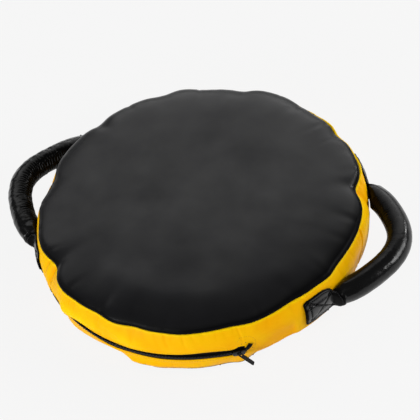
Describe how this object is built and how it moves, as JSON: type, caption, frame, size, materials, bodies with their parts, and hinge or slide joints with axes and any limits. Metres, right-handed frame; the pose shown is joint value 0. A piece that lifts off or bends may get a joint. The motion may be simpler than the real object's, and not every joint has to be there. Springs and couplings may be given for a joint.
{
  "type": "drum mitt",
  "caption": "Round padded striking mitt with a crowned leatherette face, a zipped side wall and padded tube handles at opposite sides.",
  "frame": {"origin": "middle of the back panel's flat face, which the mitt lies on", "axes": "+Z out of the striking face, +X through the right handle, -Y towards the zip's side"},
  "size_m": [0.5882, 0.464, 0.1033],
  "materials": {
    "black_panel": "matte grained leatherette",
    "yellow_wall": "semi-matte leatherette",
    "foam_firm": "closed-cell foam",
    "foam_soft": "open-cell foam",
    "zip_tape": "woven tape",
    "zip_teeth": "moulded, satin",
    "zip_metal": "black lacquered zinc",
    "handle_leather": "satin leatherette",
    "tab_leather": "satin leatherette",
    "padding": "foam roll",
    "webbing": "woven webbing"
  },
  "bodies": {
    "drum": {"striking_panel": "black_panel", "back_panel": "black_panel", "side_wall_plain": "yellow_wall", "side_wall_above_zip": "yellow_wall", "side_wall_below_zip": "yellow_wall", "foam_back_layer": "foam_firm", "foam_middle_layer": "foam_soft", "foam_striking_layer": "foam_firm", "zip_tape_upper": "zip_tape", "zip_tape_lower": "zip_tape", "zip_teeth_upper": "zip_teeth", "zip_teeth_lower": "zip_teeth", "zip_top_stop_upper": "zip_metal", "zip_top_stop_lower": "zip_metal", "zip_bottom_stop": "zip_metal", "right_front_tab": "tab_leather", "right_rear_tab": "tab_leather", "left_front_tab": "tab_leather", "left_rear_tab": "tab_leather", "right_front_webbing": "webbing", "right_rear_webbing": "webbing", "left_front_webbing": "webbing", "left_rear_webbing": "webbing"},
    "slider": {"zip_slider_front": "zip_metal", "zip_slider_back": "zip_metal"},
    "pull": {"zip_pull_tab": "zip_metal"},
    "right_handle": {"right_handle_sleeve": "handle_leather", "right_handle_padding": "padding", "right_handle_webbing": "webbing"},
    "left_handle": {"left_handle_sleeve": "handle_leather", "left_handle_padding": "padding", "left_handle_webbing": "webbing"}
  },
  "joints": [
    {"name": "zip_slide", "type": "hinge", "parent": "drum", "child": "slider", "pos_m": [0, 0, 0.0395], "axis": [0, 0, 1], "range_deg": [-73.8, 0]},
    {"name": "pull_swing", "type": "hinge", "parent": "slider", "child": "pull", "pos_m": [0.11532, -0.20463, 0.03898], "axis": [0.0472, -0.0838, 0.9954], "range_deg": [-126, 50]},
    {"name": "right_handle_flex", "type": "hinge", "parent": "drum", "child": "right_handle", "pos_m": [0.2205, 0, 0.048], "axis": [0, -1, 0], "range_deg": [-15, 15], "stiffness_Nm_per_rad": 4},
    {"name": "left_handle_flex", "type": "hinge", "parent": "drum", "child": "left_handle", "pos_m": [-0.2202, 0.01154, 0.048], "axis": [0.0523, 0.9986, 0], "range_deg": [-15, 15], "stiffness_Nm_per_rad": 4}
  ]
}
